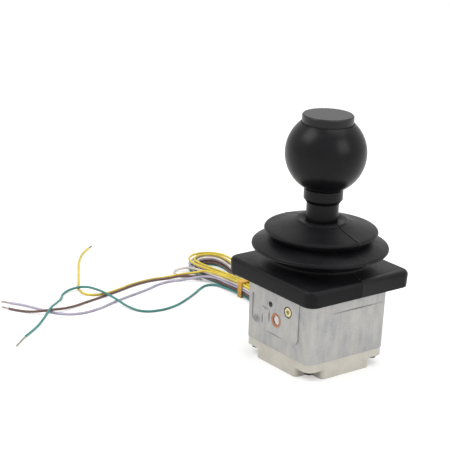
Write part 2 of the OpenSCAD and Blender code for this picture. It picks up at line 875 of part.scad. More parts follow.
// pin on the hub that winds one leg of the cross spring
module hub_pin() {
    color("whitesmoke")
        bar_x(hub_pin_r, hub_x - 2.8, cross_x0 + cross_turns * cross_pitch + 0.7, -hub_pin_out, pivot_z);
}

module set_screw() {
    z = pivot_z + hub_z + hub_boss_h / 2;
    color("dimgray")
        difference() {
            bar_y(1.5 - fit, -hub_boss_r + 0.3, -rod_r - fit, 0, z);
            translate([0, -hub_boss_r + 1.3, z])
                rotate([90, 0, 0])
                    cylinder(r = 0.85, h = 2, $fn = 6);
        }
}

module lever_rod() {
    color("lightsteelblue")
        difference() {
            translate([0, 0, rod_z0])
                cylinder(r = rod_r, h = rod_z1 - rod_z0, $fn = fine);
            translate([0, 0, rod_z0 + 3])
                cylinder(r = rod_bore_r, h = rod_z1 - rod_z0, $fn = fine);
            bar_y(rod_hole_r, 0, rod_r + 1, 0, rod_hole_z);
        }
}

// moulded stem over the rod, a little wider at its foot
module stem_sleeve() {
    color("#1e1e20")
        rotate_extrude($fn = fine)
            polygon([[rod_r + fit, stem_z0], [stem_r - 0.8, stem_z0], [stem_r, stem_z0 + 1.5],
                [stem_r, collar_z0], [rod_r + fit, collar_z0]]);
}

module knob_collar() {
    color("#1e1e20")
        rotate_extrude($fn = fine)
            polygon([[rod_r + fit, collar_z0], [stem_r + 0.3, collar_z0], [collar_r, collar_z0 + 2.2],
                [collar_r, knob_z0 - 0.5], [collar_r - 0.5, knob_z0], [rod_r + fit, knob_z0]]);
}

// ball with a flat, a well for the button and room for its switch
module knob_ball() {
    color("#202022")
        difference() {
            translate([0, 0, ball_z])
                sphere(ball_r, $fn = 96);
            translate([0, 0, knob_z0 - 20])
                cylinder(r = ball_r, h = 20, $fn = fine);
            translate([0, 0, flat_z])
                cylinder(r = ball_r, h = 20, $fn = fine);
            translate([0, 0, well_z])
                cylinder(r = button_r + gap, h = 20, $fn = 96);
            translate([0, 0, plate_z])
                cylinder(r = plate_r + fit, h = 20, $fn = fine);
            translate([0, 0, switch_z0])
                cylinder(r = switch_r + fit, h = 40, $fn = fine);
            translate([0, 0, knob_z0 - 1])
                cylinder(r = rod_r + fit, h = rod_z1 - knob_z0 + 1, $fn = fine);
            translate([0, 0, rod_z1 - 1])
                cylinder(r = rod_bore_r, h = 10, $fn = fine);
        }
}

// plate over the switch that guides the button's stem and carries its spring
module guide_plate() {
    color("dimgray")
        difference() {
            translate([0, 0, plate_z])
                cylinder(r = plate_r, h = plate_t, $fn = fine);
            translate([0, 0, plate_z - 1])
                cylinder(r = button_pin_r + run, h = plate_t + 2, $fn = fine);
        }
}

module microswitch() {
    color("#303034")
        difference() {
            union() {
                translate([0, 0, switch_z0])
                    cylinder(r = switch_r, h = switch_h, $fn = fine);
                for (x = [-1.2, 1.2])
                    translate([x, 0, switch_z0 - 2])
                        cylinder(r = 0.45, h = 2.5, $fn = 16);
            }
            translate([0, 0, switch_z0 + switch_h - 6])
                cylinder(r = plunger_r + run, h = 7, $fn = 32);
        }
}

// the switch's two leads inside the rod's bore
module button_leads() {
    color("crimson")
        for (x = [-1.2, 1.2])
            translate([x, 0, rod_z0 + socket_drop + 1])
                cylinder(r = 0.7, h = switch_z0 - 2 - rod_z0 - socket_drop - 1, $fn = 16);
}

// loose lead from the rod's side hole down to the board
module flex_lead() {
    color("crimson")
        tube(flex_route, 0.9, [1, 0, 0]);
}

module magnet_holder() {
    z = pivot_z - hub_z;
    color("#3a3a3e")
        difference() {
            union() {
                translate([0, 0, z - holder_h])
                    cylinder(r = holder_r, h = holder_h, $fn = 48);
                translate([0, 0, z - 0.1])
                    cylinder(r = 1.5 - fit, h = 2.5, $fn = 32);
            }
            translate([0, 0, z - holder_h - 1])
                cylinder(r = magnet_r + fit, h = magnet_h + 1, $fn = 48);
        }
}

module magnet() {
    color("gainsboro")
        translate([0, 0, pivot_z - hub_z - holder_h])
            cylinder(r = magnet_r, h = magnet_h, $fn = 48);
}

// compression spring between the guide plate and the button's cap
module button_spring() {
    r = 4.4;
    w = 0.35;
    z0 = plate_z + plate_t + w;
    z1 = button_top - 2 - w;
    turns = 5;
    steps = 16 * turns;
    path = [for (i = [0:steps])
        let (a = 360 * turns * i / steps, s = i / steps)
        [r * cos(a), r * sin(a), z0 + (z1 - z0) * (s * s * (3 - 2 * s) * 0.4 + s * 0.6)]];
    color("darkgray")
        tube(path, w, [0, 0, 1], 6);
}

// thumb button: a shallow cap on a stem that runs down to the switch
module push_button() {
    t = 1.6;
    low = plate_z - stem_end;
    groove_z = plate_z - 0.9;
    color("#303033")
        rotate_extrude($fn = 96)
            polygon([[0, low], [button_pin_r, low], [button_pin_r, groove_z], [button_pin_r - 0.5, groove_z],
                [button_pin_r - 0.5, groove_z + 0.7], [button_pin_r, groove_z + 0.7],
                [button_pin_r, button_top - 2], [button_r - t, button_top - 2],
                [button_r - t, button_low], [button_r, button_low], [button_r, button_top - 0.6],
                [button_r - 0.6, button_top], [0, button_top]]);
}

// clip under the guide plate that keeps the button in
module button_clip() {
    color("dimgray")
        translate([0, 0, plate_z - 0.9 + fit])
            circlip(button_pin_r - 0.5 + fit, 0.7 - 2 * fit);
}

module switch_plunger() {
    color("tomato")
        translate([0, 0, plate_z - stem_end - plunger_l])
            cylinder(r = plunger_r, h = plunger_l, $fn = 32);
}

module lead_bundle() {
    color("khaki")
        tube(bundle_route, bundle_r);
}

// hank of the leads: two loops and the neck that its tie draws together
module wire_hank() {
    n = neck_w / 2;
    color("darkkhaki")
        translate([0, 0, hank_z0])
            linear_extrude(height = hank_h) {
                hull() {
                    translate([-144, 35])
                        circle(14, $fn = 32);
                    translate([neck_x - tie_w / 2 - 1, neck_y])
                        square([2, neck_w], center = true);
                }
                hull() {
                    translate([-61, 31])
                        circle(12, $fn = 32);
                    translate([neck_x + tie_w / 2 + 1, neck_y])
                        square([2, neck_w], center = true);
                }
                translate([neck_x, neck_y])
                    square([tie_w + 2, neck_w], center = true);
            }
}

module hank_tie() {
    w = neck_w + 2 * tie_t;
    color("goldenrod")
        difference() {
            translate([neck_x - tie_w / 2, neck_y - w / 2, hank_z0 - tie_t])
                cube([tie_w, w, hank_h + 2 * tie_t]);
            translate([neck_x - tie_w, neck_y - neck_w / 2, hank_z0])
                cube([2 * tie_w, neck_w, hank_h]);
        }
}

module yellow_lead() {
    color("#e3d04a")
        tube(yellow_route, lead_r);
}

module brown_lead() {
    color("#6a4a40")
        tube(brown_route, lead_r);
}

module grey_lead() {
    color("#c4bfd2")
        tube(grey_route, lead_r);
}

module green_lead() {
    color("#3f8577")
        tube(green_route, lead_r);
}

module white_lead() {
    color("#e8ddd4")
        tube(white_route, lead_r);
}

housing();
bottom_cover();
cover_screws();
gate_plate();
gate_screws();
front_bush();
rear_bush();
spring_post();
post_screw();
rubber_bellows();
circuit_board();
hall_sensor();
board_screws();
lead_connector();
cable_grommet();
inner_leads();
gimbal_ring();
front_shaft();
rear_shaft();
cross_pin();
pin_circlips();
drive_pin();
main_spring();
cross_spring();
lever_hub();
hub_pin();
set_screw();
lever_rod();
stem_sleeve();
knob_collar();
knob_ball();
guide_plate();
microswitch();
button_leads();
flex_lead();
magnet_holder();
magnet();
button_spring();
push_button();
switch_plunger();
button_clip();
lead_bundle();
wire_hank();
hank_tie();
yellow_lead();
brown_lead();
grey_lead();
green_lead();
white_lead();
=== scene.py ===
"""Dresses the two-axis ball-knob joystick: its rubber boot, castings, knob and leads, and the studio round it."""

import math
from random import Random

import bpy
from mathutils import Matrix, Vector


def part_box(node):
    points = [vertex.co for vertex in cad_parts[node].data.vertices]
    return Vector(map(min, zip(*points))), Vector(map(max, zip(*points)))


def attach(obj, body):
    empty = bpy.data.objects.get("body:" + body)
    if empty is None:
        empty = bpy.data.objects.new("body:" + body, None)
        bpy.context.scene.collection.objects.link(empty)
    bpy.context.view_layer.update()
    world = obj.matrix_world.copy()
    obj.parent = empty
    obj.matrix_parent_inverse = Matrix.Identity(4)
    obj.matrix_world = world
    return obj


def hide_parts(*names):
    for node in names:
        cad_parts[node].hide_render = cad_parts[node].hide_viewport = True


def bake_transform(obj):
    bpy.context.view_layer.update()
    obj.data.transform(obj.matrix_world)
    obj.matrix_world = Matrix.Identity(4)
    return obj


bl_info = {
    "name": "Industrial joystick",
    "version": (1, 0, 0),
    "blender": (4, 5, 0),
    "location": "View3D > Sidebar > Joystick",
    "description": "Builds the looks of a panel joystick with a ball knob round its packed frame",
    "category": "Object",
}

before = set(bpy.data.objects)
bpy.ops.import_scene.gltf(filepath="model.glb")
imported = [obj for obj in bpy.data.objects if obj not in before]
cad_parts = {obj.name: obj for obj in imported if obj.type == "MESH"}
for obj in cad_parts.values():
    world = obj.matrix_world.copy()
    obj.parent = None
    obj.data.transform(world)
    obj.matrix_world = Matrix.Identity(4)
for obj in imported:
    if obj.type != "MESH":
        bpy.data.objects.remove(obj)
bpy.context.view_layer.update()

MM = 0.001
FLANGE_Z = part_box("rubber_bellows")[0].z / MM
SKIRT_H = 9
BENCH_SIDE = 8
RING_PITCH_MM = 2.827
JOINT_Z = 37.2
SKIRT_TOP = FLANGE_Z + SKIRT_H

# The leads, from the lowest in the hank to the highest: name, CAD node, material slot.
LEADS = (
    ("green", "green_lead", "green_insulation"),
    ("brown", "brown_lead", "brown_insulation"),
    ("grey", "grey_lead", "grey_insulation"),
    ("white", "white_lead", "white_insulation"),
    ("yellow", "yellow_lead", "yellow_insulation"),
)
# Where each lead leaves the hank and how it lies on the bench, in metres.
TAILS = {
    "green": (
        (-0.1120, 0.0220, 0.0011), (-0.1180, 0.0205, 0.0009), (-0.1205, 0.0160, 0.0008), (-0.1185, 0.0100, 0.0008),
        (-0.1130, 0.0010, 0.0008), (-0.1070, -0.0100, 0.0008), (-0.1020, -0.0220, 0.0008), (-0.1010, -0.0340, 0.0008),
        (-0.1050, -0.0430, 0.0008), (-0.1150, -0.0470, 0.0014), (-0.1240, -0.0480, 0.0026), (-0.1360, -0.0480, 0.0026),
        (-0.1450, -0.0490, 0.0026), (-0.1530, -0.0530, 0.0026), (-0.1560, -0.0600, 0.0016), (-0.1540, -0.0670, 0.0008),
        (-0.1460, -0.0740, 0.0012), (-0.1380, -0.0820, 0.0028), (-0.1300, -0.0910, 0.0039), (-0.1230, -0.0990, 0.0024),
        (-0.1170, -0.1070, 0.0009), (-0.1070, -0.1210, 0.0008),
    ),
    "brown": (
        (-0.1250, 0.0215, 0.0028), (-0.1300, 0.0192, 0.0027), (-0.1345, 0.0155, 0.0025), (-0.1390, 0.0100, 0.0023),
        (-0.1430, 0.0020, 0.0009), (-0.1450, -0.0090, 0.0008), (-0.1440, -0.0220, 0.0008), (-0.1400, -0.0380, 0.0008),
        (-0.1350, -0.0610, 0.0008), (-0.1310, -0.0790, 0.0014), (-0.1310, -0.0900, 0.0024), (-0.1360, -0.0990, 0.0014),
        (-0.1440, -0.1050, 0.0008), (-0.1490, -0.1077, 0.0008),
    ),
    "grey": (
        (-0.1240, 0.0213, 0.0042), (-0.1280, 0.0188, 0.0036), (-0.1315, 0.0145, 0.0026), (-0.1360, 0.0080, 0.0010),
        (-0.1380, -0.0040, 0.0008), (-0.1330, -0.0220, 0.0008), (-0.1270, -0.0460, 0.0008), (-0.1210, -0.0660, 0.0008),
        (-0.1210, -0.0770, 0.0008), (-0.1260, -0.0860, 0.0008), (-0.1370, -0.0920, 0.0008), (-0.1500, -0.0980, 0.0008),
        (-0.1570, -0.1028, 0.0008),
    ),
    "white": (
        (-0.1250, 0.0218, 0.0058), (-0.1320, 0.0210, 0.0056), (-0.1400, 0.0205, 0.0048), (-0.1465, 0.0202, 0.0034),
        (-0.1510, 0.0180, 0.0020), (-0.1520, 0.0140, 0.0010), (-0.1470, 0.0110, 0.0009), (-0.1390, 0.0130, 0.0009),
        (-0.1330, 0.0170, 0.0009),
    ),
    "yellow": (
        (-0.1250, 0.0216, 0.0070), (-0.1310, 0.0205, 0.0060), (-0.1350, 0.0175, 0.0044), (-0.1410, 0.0110, 0.0026),
        (-0.1450, 0.0030, 0.0010), (-0.1470, -0.0080, 0.0008), (-0.1460, -0.0220, 0.0008), (-0.1420, -0.0380, 0.0008),
        (-0.1410, -0.0480, 0.0008), (-0.1450, -0.0560, 0.0008), (-0.1540, -0.0560, 0.0008), (-0.1660, -0.0490, 0.0008),
        (-0.1820, -0.0390, 0.0008), (-0.2000, -0.0270, 0.0008), (-0.2120, -0.0160, 0.0008), (-0.2165, -0.0100, 0.0008),
    ),
}
# The last few millimetres of each lead, stripped to the tinned strands.
STRIPPED_ENDS = {
    "green": (-0.0970, -0.1330, 0.0008),
    "brown": (-0.1540, -0.1100, 0.0008),
    "grey": (-0.1620, -0.1060, 0.0008),
    "white": (-0.1300, 0.0192, 0.0008),
    "yellow": (-0.2200, -0.0050, 0.0008),
}
# The way from the grommet over the hank, in metres, at the middle of the five leads.
BUNDLE = (
    (-0.0362, 0.0, 0.0150), (-0.0385, 0.0, 0.0150), (-0.0425, 0.0012, 0.0146), (-0.0470, 0.0055, 0.0134),
    (-0.0515, 0.0115, 0.0124), (-0.0565, 0.0180, 0.0118), (-0.0615, 0.0232, 0.0106), (-0.0680, 0.0258, 0.0084),
)


# --------------------------------------------------------------------------------------
# Sizes and colours that a user would change


def looks():
    return bpy.context.scene.joystick_looks


def sizes():
    return bpy.context.scene.joystick_sizes


class JoystickSizes(bpy.types.PropertyGroup):
    skirt_w: bpy.props.FloatProperty(
        name="Skirt side", description="Side of the square rubber skirt", default=0.072, unit="LENGTH")
    low_fold_r: bpy.props.FloatProperty(
        name="Lower fold radius", description="Radius of the boot's lower fold", default=0.0374, unit="LENGTH")
    top_fold_r: bpy.props.FloatProperty(
        name="Upper fold radius", description="Radius of the boot's upper fold", default=0.031, unit="LENGTH")
    lead_d: bpy.props.FloatProperty(
        name="Lead diameter", description="Diameter of one insulated lead", default=0.0015, unit="LENGTH")
    edge_r: bpy.props.FloatProperty(
        name="Edge radius", description="Small round on the castings' edges", default=0.00035, unit="LENGTH")
    seam_h: bpy.props.FloatProperty(
        name="Parting line", description="How far the mould's parting line stands out", default=0.0002, unit="LENGTH")


def colour_property(name, text, value):
    return bpy.props.StringProperty(name=name, description=text, default=value)


class JoystickLooks(bpy.types.PropertyGroup):
    casting: colour_property("Casting", "Raw die-cast aluminium, sRGB hex", "#b3b2ae")
    cover: colour_property("Cover", "Warm grey of the bottom cover, sRGB hex", "#c9c5ba")
    rubber: colour_property("Rubber", "Black of the boot, sRGB hex", "#161618")
    knob: colour_property("Knob", "Black of the knob and stem, sRGB hex", "#121214")
    button: colour_property("Button", "Black of the thumb button, sRGB hex", "#161618")
    yellow: colour_property("Yellow lead", "Insulation, sRGB hex", "#e0c840")
    brown: colour_property("Brown lead", "Insulation, sRGB hex", "#6a4a40")
    grey: colour_property("Grey lead", "Insulation, sRGB hex", "#b9b3c8")
    green: colour_property("Green lead", "Insulation, sRGB hex", "#3f8b85")
    white: colour_property("White lead", "Insulation, sRGB hex", "#e2d6cc")
    tie: colour_property("Tie", "Amber of the hank's tie, sRGB hex", "#cf9a2c")


# --------------------------------------------------------------------------------------
# Colours and nodes


def linear(code):
    """An sRGB hex colour as linear red, green, blue and alpha."""
    parts = [int(code[i:i + 2], 16) / 255 for i in (1, 3, 5)]
    return (*[c / 12.92 if c <= 0.04045 else ((c + 0.055) / 1.055) ** 2.4 for c in parts], 1.0)


def add_node(tree, kind, inputs=None, **settings):
    """Adds a node with its settings, and its inputs as plain values or as sockets to link."""
    made = tree.nodes.new(kind)
    for key, value in settings.items():
        setattr(made, key, value)
    for key, value in (inputs or {}).items():
        if isinstance(value, bpy.types.NodeSocket):
            tree.links.new(value, made.inputs[key])
        else:
            made.inputs[key].default_value = value
    return made


def new_material(name):
    """An empty node material, its output and the Object coordinates in metres."""
    material = bpy.data.materials.new(name)
    material.use_nodes = True
    tree = material.node_tree
    tree.nodes.clear()
    output = add_node(tree, "ShaderNodeOutputMaterial")
    place = add_node(tree, "ShaderNodeTexCoord").outputs["Object"]
    return material, tree, output, place


def per_metre(size_mm):
    """The scale at which a texture's grains are that many millimetres apart."""
    return 1.0 / (size_mm * MM)


def finish_of(name, base, shade, light, grain_mm, blotch_mm, rough, spread, bump_mm,
              metallic=0.0, ior=None, gloss=0.5, sheen=0.0):
    """A moulded, cast or ground surface: slow blotches of colour, a fine grain and roughness that follows both."""
    material, tree, output, place = new_material(name)
    blotch = add_node(tree, "ShaderNodeTexNoise", {
        "Vector": place, "Scale": per_metre(blotch_mm), "Detail": 4.0, "Roughness": 0.6})
    grain = add_node(tree, "ShaderNodeTexNoise", {
        "Vector": place, "Scale": per_metre(grain_mm), "Detail": 2.0, "Roughness": 0.5})
    tone = add_node(tree, "ShaderNodeMapRange", {
        "Value": blotch.outputs["Fac"], "From Min": 0.35, "From Max": 0.65})
    body = add_node(tree, "ShaderNodeMix", {
        0: tone.outputs["Result"], 6: linear(shade), 7: linear(base)}, data_type="RGBA")
    fleck = add_node(tree, "ShaderNodeMapRange", {
        "Value": grain.outputs["Fac"], "From Min": 0.62, "From Max": 0.8, "To Max": 0.6})
    colour = add_node(tree, "ShaderNodeMix", {
        0: fleck.outputs["Result"], 6: body.outputs[2], 7: linear(light)}, data_type="RGBA")
    roughness = add_node(tree, "ShaderNodeMapRange", {
        "Value": blotch.outputs["Fac"], "From Min": 0.3, "From Max": 0.7,
        "To Min": rough - spread, "To Max": rough + spread})
    bump = add_node(tree, "ShaderNodeBump", {
        "Height": grain.outputs["Fac"], "Distance": bump_mm * MM, "Strength": 1.0})
    shader = add_node(tree, "ShaderNodeBsdfPrincipled", {
        "Base Color": colour.outputs[2], "Roughness": roughness.outputs["Result"],
        "Normal": bump.outputs["Normal"], "Metallic": metallic, "Specular IOR Level": gloss,
        "Sheen Weight": sheen})
    if ior:
        shader.inputs["IOR"].default_value = ior
    tree.links.new(shader.outputs["BSDF"], output.inputs["Surface"])
    return material


def dress(obj, material):
    """Gives the piece this one material."""
    obj.data.materials.clear()
    obj.data.materials.append(material)


# --------------------------------------------------------------------------------------
# Modelling helpers


def select_only(obj):
    """Nothing but obj is selected, and it is active."""
    if bpy.context.object and bpy.context.object.mode != "OBJECT":
        bpy.ops.object.mode_set(mode="OBJECT")
    bpy.ops.object.select_all(action="DESELECT")
    obj.select_set(True)
    bpy.context.view_layer.objects.active = obj


def turned(name, outline, steps=96):
    """A closed outline of (radius, height) points in millimetres, spun round the lever's axis."""
    bpy.ops.object.select_all(action="DESELECT")
    bpy.ops.mesh.primitive_plane_add(size=0.001)
    obj = bpy.context.object
    obj.name = obj.data.name = name
    bpy.ops.object.mode_set(mode="EDIT")
    bpy.ops.mesh.select_mode(type="VERT")
    bpy.ops.mesh.select_all(action="SELECT")
    bpy.ops.mesh.merge(type="CENTER")
    at = (0.0, 0.0)
    for i, point in enumerate(outline):
        step = ((point[0] - at[0]) * MM, 0, (point[1] - at[1]) * MM)
        if i:
            bpy.ops.mesh.extrude_vertices_move(TRANSFORM_OT_translate={"value": step})
        else:
            bpy.ops.transform.translate(value=step)
        at = point
    if outline[0][0] > 0 or outline[-1][0] > 0:
        bpy.ops.object.mode_set(mode="OBJECT")
        obj.data.vertices[0].select = True
        bpy.ops.object.mode_set(mode="EDIT")
        bpy.ops.mesh.edge_face_add()
    bpy.ops.mesh.select_all(action="SELECT")
    bpy.ops.mesh.spin(steps=steps, angle=2 * math.pi, center=(0, 0, 0), axis=(0, 0, 1))
    bpy.ops.mesh.select_all(action="SELECT")
    bpy.ops.mesh.remove_doubles(threshold=2e-6)
    bpy.ops.mesh.normals_make_consistent(inside=False)
    bpy.ops.object.mode_set(mode="OBJECT")
    return obj


def softened(points, rounds=2):
    """The points with their corners cut twice over, as a moulding's corners are; the two ends stay."""
    for _ in range(rounds):
        cut = [points[0]]
        for a, b in zip(points, points[1:]):
            cut.append((0.75 * a[0] + 0.25 * b[0], 0.75 * a[1] + 0.25 * b[1]))
            cut.append((0.25 * a[0] + 0.75 * b[0], 0.25 * a[1] + 0.75 * b[1]))
        points = cut + [points[-1]]
    return points


def apply_modifier(obj, kind, **settings):
    """Adds a modifier, sets it and applies it."""
    select_only(obj)
    modifier = obj.modifiers.new(kind.title(), kind)
    for key, value in settings.items():
        setattr(modifier, key, value)
    bpy.ops.object.modifier_apply(modifier=modifier.name)


def smooth(obj, degrees=32):
    select_only(obj)
    bpy.ops.object.shade_smooth_by_angle(angle=math.radians(degrees))


def arc(r, z, radius, start, end, n):
    """Points on an arc, for the rims of the folds."""
    angles = [math.radians(start + (end - start) * i / n) for i in range(n + 1)]
    return [(r + radius * math.cos(a), z + radius * math.sin(a)) for a in angles]


# --------------------------------------------------------------------------------------
# Camera and leads


class JOYSTICK_OT_camera(bpy.types.Operator):
    """Places the camera before the corner between the front and the right side"""

    bl_idname = "joystick.camera"
    bl_label = "Camera"

    def execute(self, context):
        azimuth, elevation, roll = (math.radians(a) for a in (52.04, 18.05, 2.45))
        back = Vector((math.sin(azimuth) * math.cos(elevation), -math.cos(azimuth) * math.cos(elevation),
                       math.sin(elevation)))
        right = Vector((math.cos(azimuth), math.sin(azimuth), 0))
        up = back.cross(right)
        turned_right = right * math.cos(roll) + up * math.sin(roll)
        turned_up = up * math.cos(roll) - right * math.sin(roll)
        camera = bpy.data.objects.new("camera", bpy.data.cameras.new("camera"))
        context.scene.collection.objects.link(camera)
        camera.data.sensor_width = 36
        camera.data.lens = 125.36
        camera.data.clip_start, camera.data.clip_end = 0.05, 20
        camera.matrix_world = Matrix.Translation((0.6034, -0.5368, 0.3373)) @ Matrix(
            (turned_right, turned_up, back)).transposed().to_4x4()
        context.scene.camera = camera
        return {"FINISHED"}


def hank_turns(level):
    """Two and a half turns of one lead, from the inside out, at its level in the hank; millimetres."""
    low, tied = 0.8 + 1.62 * level, 1.5 + 1.75 * level
    drift = (0.3, -0.6, 0.5, -0.9, 0.7)[level]
    far, near = Vector((-144, 35)), Vector((-61, 31))
    front, back = (22.9, 25.3, 27.7), (36.0, 33.9, 31.0)
    far_r, near_r = (14.6, 12.2, 8.8), (11.0, 8.6, 6.2)
    points = []

    def run(lane, side, x_list):
        tie_y = (front if side < 0 else back)[lane]
        for x in x_list:
            end_y = far.y + side * (far_r[lane] + drift) if x < -95 else near.y + side * near_r[lane]
            share = min(1, abs(x + 95) / (49 if x < -95 else 34))
            share = share * share * (3 - 2 * share)
            height = tied + (low - tied) * share
            points.append((x, tie_y + (end_y - tie_y) * share, height))

    for lane in (2, 1):
        run(lane, -1, (-80, -95, -112, -128))
        for step in range(7):
            a = math.radians(-90 - 30 * step)
            r = far_r[lane] + drift
            points.append((far.x + r * math.cos(a), far.y + r * math.sin(a), low))
        run(lane, 1, (-128, -112, -95, -78))
        for step in range(7):
            a = math.radians(90 - 30 * step)
            r = near_r[lane] + (near_r[lane - 1] - near_r[lane]) * step / 6
            points.append((near.x + r * math.cos(a), near.y + r * math.sin(a), low))
    run(0, -1, (-80, -95, -106))
    return [tuple(c * MM for c in p) for p in points]


def lead_points(name, level):
    """The whole of one lead: grommet, bundle, hank and tail."""
    ring = sizes().lead_d * 0.85
    spots = (234, 306, 162, 18, 90)
    spin = math.radians(spots[level])
    points = []
    for i, spot in enumerate(BUNDLE):
        here = Vector(spot)
        ahead = Vector(BUNDLE[min(i + 1, len(BUNDLE) - 1)]) - Vector(BUNDLE[max(i - 1, 0)])
        side = ahead.cross(Vector((0, 0, 1))).normalized()
        up = side.cross(ahead).normalized()
        points.append(here + ring * (math.cos(spin) * side + math.sin(spin) * up))
    return points + [Vector(p) for p in hank_turns(level)] + [Vector(p) for p in TAILS[name]]


def insulation(name, code):
    """Semi-matt PVC insulation, extruded: an even colour, faint print-free streaks and a soft waxy sheen."""
    dark = "#" + "".join(f"{int(int(code[i:i + 2], 16) * 0.86):02x}" for i in (1, 3, 5))
    return finish_of(name, code, dark, code, 0.5, 9.0, 0.42, 0.06, 0.01, ior=1.52)


def make_lead(name, level, node, code):
    """One insulated lead as a round curve, with its stripped end beside it."""
    diameter = sizes().lead_d
    points = lead_points(name, level)
    curve = bpy.data.curves.new(f"{name}_lead_wire", "CURVE")
    curve.dimensions = "3D"
    curve.resolution_u = 5
    curve.bevel_depth = diameter / 2
    curve.bevel_resolution = 2
    curve.use_fill_caps = True
    spline = curve.splines.new("BEZIER")
    spline.bezier_points.add(len(points) - 1)
    for knot, spot in zip(spline.bezier_points, points):
        knot.co = spot
        knot.handle_left_type = knot.handle_right_type = "AUTO"
    wire = bpy.data.objects.new(f"{name}_lead_wire", curve)
    bpy.context.scene.collection.objects.link(wire)
    wire.data.materials.append(insulation(f"{name}_pvc_insulation", code))
    strands = make_strands(name, points[-1], Vector(STRIPPED_ENDS[name]), diameter)
    length = sum((b - a).length for a, b in zip(points, points[1:]))
    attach(wire, "base")
    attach(strands, "base")
    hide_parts(node, *(("lead_bundle", "wire_hank") if name == "yellow" else ()))
    return wire, strands, length


def make_strands(name, start, end, diameter):
    """Seven tinned copper strands, lightly twisted, from the end of the insulation."""
    ahead = end - start
    side = ahead.cross(Vector((0, 0, 1))).normalized()
    up = side.cross(ahead).normalized()
    curve = bpy.data.curves.new(f"{name}_lead_strands", "CURVE")
    curve.dimensions = "3D"
    curve.bevel_depth = diameter * 0.11
    curve.bevel_resolution = 0
    curve.use_fill_caps = True
    for k in range(7):
        spline = curve.splines.new("POLY")
        spline.points.add(7)
        for i, spot in enumerate(spline.points):
            t = i / 7
            angle = 2 * math.pi * (k / 6 + 0.7 * t)
            out = 0.0 if k == 6 else diameter * (0.23 + 0.12 * t * ((k * 3) % 4) / 3)
            place = start + ahead * (t - 0.04) + out * (math.cos(angle) * side + math.sin(angle) * up)
            spot.co = (*place, 1)
    strands = bpy.data.objects.new(f"{name}_lead_strands", curve)
    bpy.context.scene.collection.objects.link(strands)
    select_only(strands)
    bpy.ops.object.convert(target="MESH")
    return bpy.context.object


class JOYSTICK_OT_leads(bpy.types.Operator):
    """Lays the five loose leads: out of the grommet, through the hank and over the bench"""

    bl_idname = "joystick.leads"
    bl_label = "Leads"

    def execute(self, context):
        # Tinned copper strand: small bright silvery ends, duller than polished steel.
        tinned = finish_of("tinned_copper_strand", "#c9c4bb", "#a39d92", "#e8e4dc", 0.3, 1.5, 0.3, 0.08, 0.01,
                           metallic=1.0)
        for level, (name, node, slot) in enumerate(LEADS):
            wire, strands, length = make_lead(name, level, node, getattr(looks(), name))
            dress(strands, tinned)
        return {"FINISHED"}


# --------------------------------------------------------------------------------------
# Rubber boot


class JOYSTICK_OT_boot(bpy.types.Operator):
    """Moulds the boot: the square skirt with the lower fold, and the upper fold with its lip"""

    bl_idname = "joystick.boot"
    bl_label = "Rubber boot"

    def execute(self, context):
        # Moulded EPDM rubber: a deep dry black whose folds catch only a dull, broad light.
        rubber = finish_of("moulded_epdm_rubber", looks().rubber, "#101012", "#242426", 0.35, 14.0, 0.42, 0.07,
                           0.02, ior=1.5, gloss=0.12)
        z0, wall, thin = SKIRT_TOP, 1.6, 0.7
        valley, low, top = 25.8, sizes().low_fold_r / MM, sizes().top_fold_r / MM
        rim, low_z, top_z, lip_z, lip, stem = 1.3, z0 + 10.2, z0 + 19.2, z0 + 25.4, 14.2, 8.83
        dip_z = (low_z + top_z) / 2 + 0.2
        outside = softened(
            [(valley + 8, z0 - 1.4), (valley + 8, z0 - 0.1), (valley + 4.4, z0 + 1.1), (valley + 1.8, z0 + 2.6),
             (valley + 1.4, z0 + 4.2), (valley + 4, z0 + 6.2)]
            + arc(low - rim, low_z, rim, -62, 75, 6)
            + [(valley + 3.5, dip_z - 0.7), (valley + 0.4, dip_z - 0.3), (valley, dip_z)])
        inside = softened(
            [(valley - thin, dip_z), (valley - thin, dip_z - 0.6), (valley + 3, dip_z - 0.7 - wall),
             (low - rim - 2.4, low_z + 0.1), (valley + 3.2, z0 + 7.2), (valley + 1.4 - wall, z0 + 4.6),
             (valley + 1.4 - wall, z0 - 1.4)])
        lower = turned("boot_lower", outside + inside)
        skirt = make_skirt()
        apply_modifier(skirt, "BOOLEAN", object=lower, operation="UNION", solver="EXACT")
        bpy.data.objects.remove(lower)
        skirt.name = skirt.data.name = "boot_lower"
        outside = softened(
            [(valley, dip_z), (valley + 0.4, dip_z + 0.4), (valley + 2, dip_z + 1)]
            + arc(top - rim, top_z, rim, -60, 68, 6)
            + [(lip + 5, lip_z - 2.6), (lip + 1, lip_z - 1.2), (lip, lip_z - 1), (lip, lip_z - 0.3),
               (lip - 0.4, lip_z), (stem + 2.2, lip_z), (stem + 0.6, lip_z - 1), (stem, lip_z - 1)])
        inside = softened(
            [(stem, lip_z - 1), (stem, lip_z - 5.5), (stem + wall, lip_z - 5.5), (lip, lip_z - 1.6 - wall),
             (lip + 5, lip_z - 3.2 - wall), (top - rim - 1.2, top_z - 0.2), (valley + 2 - wall, dip_z + 1.3),
             (valley - thin, dip_z + 0.3), (valley - thin, dip_z)])
        upper = turned("boot_upper", outside + inside[1:])
        for piece in (skirt, upper):
            raise_parting_line(piece)
            dress(piece, rubber)
            smooth(piece, 40)
        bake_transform(skirt)
        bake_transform(upper)
        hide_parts("rubber_bellows")
        return {"FINISHED"}


